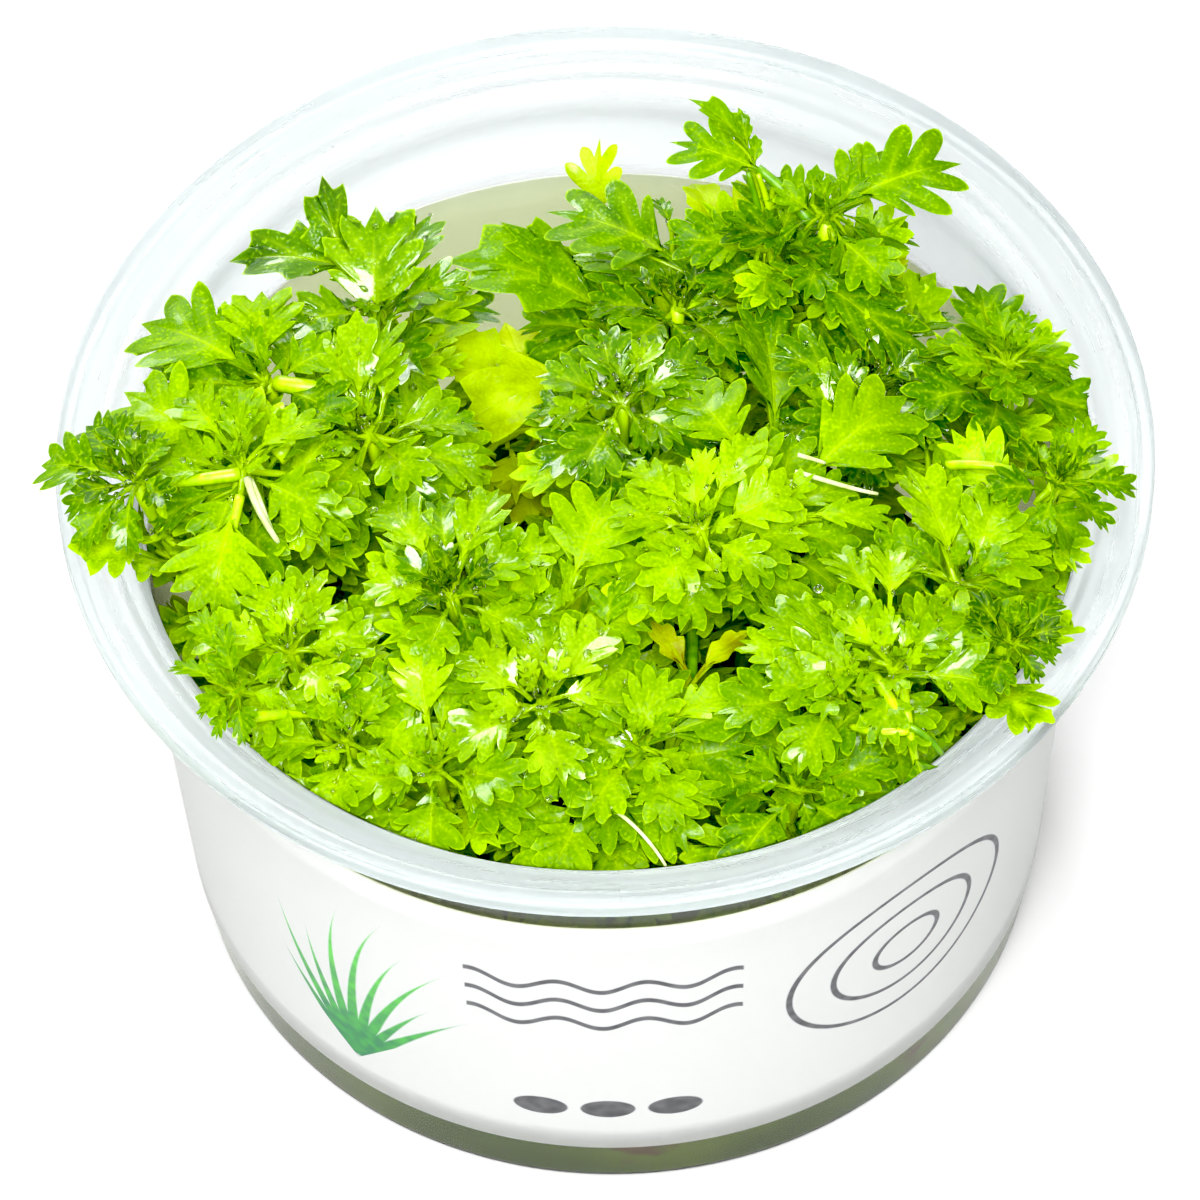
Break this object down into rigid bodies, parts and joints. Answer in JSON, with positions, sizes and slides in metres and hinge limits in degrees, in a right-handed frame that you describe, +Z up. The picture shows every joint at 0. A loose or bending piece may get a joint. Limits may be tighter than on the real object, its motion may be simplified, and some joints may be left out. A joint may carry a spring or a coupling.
{
  "type": "tissue culture water violet",
  "caption": "Feathery water violet plantlets growing from nutrient gel in a round clear tub with a flanged open top and a paper band.",
  "frame": {"origin": "centre of the tub's flat underside", "axes": "+Z up out of the tub's mouth, -Y is the front of the pictured view, +X to its right"},
  "size_m": [0.1065, 0.105, 0.077],
  "materials": {
    "clear_plastic": "clear, slightly milky moulded polypropylene with faint turning lines on the flange",
    "paper": null,
    "nutrient_gel": "cloudy olive-green jelly, wet sheen",
    "stem_green": "smooth, moist, pale yellow-green",
    "leaf_bright": "thin, translucent, moist leaf with a soft gloss",
    "leaf_mid": "moist mid-green leaf with a soft gloss",
    "leaf_dark": "moist dark green leaf with a soft gloss",
    "leaf_yellow": "soft, yellowing old leaf"
  },
  "bodies": {
    "root": {"cup": "clear_plastic", "label": "paper", "gel": "nutrient_gel", "crown_far_left": "leaf_dark", "stem_far_left": "stem_green", "crown_upper_left": "leaf_mid", "stem_upper_left": "stem_green", "crown_left_node": "leaf_bright", "stem_left_node": "stem_green", "crown_back_left": "leaf_mid", "stem_back_left": "stem_green", "crown_upright_left": "leaf_bright", "stem_upright_left": "stem_green", "crown_back_middle": "leaf_mid", "stem_back_middle": "stem_green", "crown_back_dark": "leaf_mid", "stem_back_dark": "stem_green", "crown_tall_back": "leaf_mid", "stem_tall_back": "stem_green", "crown_back_right": "leaf_mid", "stem_back_right": "stem_green", "crown_right_upper": "leaf_mid", "stem_right_upper": "stem_green", "crown_right_edge": "leaf_dark", "stem_right_edge": "stem_green", "crown_right_bright": "leaf_bright", "stem_right_bright": "stem_green", "crown_mid_right": "leaf_mid", "stem_mid_right": "stem_green", "crown_centre_right": "leaf_bright", "stem_centre_right": "stem_green", "crown_centre_wet": "leaf_bright", "stem_centre_wet": "stem_green", "crown_bright_star": "leaf_bright", "stem_bright_star": "stem_green", "crown_dark_heart": "leaf_dark", "stem_dark_heart": "stem_green", "crown_centre": "leaf_bright", "stem_centre": "stem_green", "crown_lower_left_small": "leaf_mid", "crown_lower_left_bright": "leaf_bright", "stem_lower_left_bright": "stem_green", "crown_lower_left": "leaf_bright", "stem_lower_left": "stem_green", "crown_lower_left_upright": "leaf_bright", "stem_lower_left_upright": "stem_green", "crown_lower_glossy": "leaf_bright", "stem_lower_glossy": "stem_green", "crown_lower_centre": "leaf_bright", "stem_lower_centre": "stem_green", "crown_lower_front": "leaf_bright", "stem_lower_front": "stem_green", "crown_lower_right": "leaf_bright", "stem_lower_right": "stem_green", "crown_right_cluster": "leaf_bright", "crown_right_low": "leaf_dark", "stem_right_low": "stem_green", "crown_old_yellow": "leaf_yellow", "crown_front_right": "leaf_mid", "stem_front_right": "stem_green"}
  },
  "joints": []
}
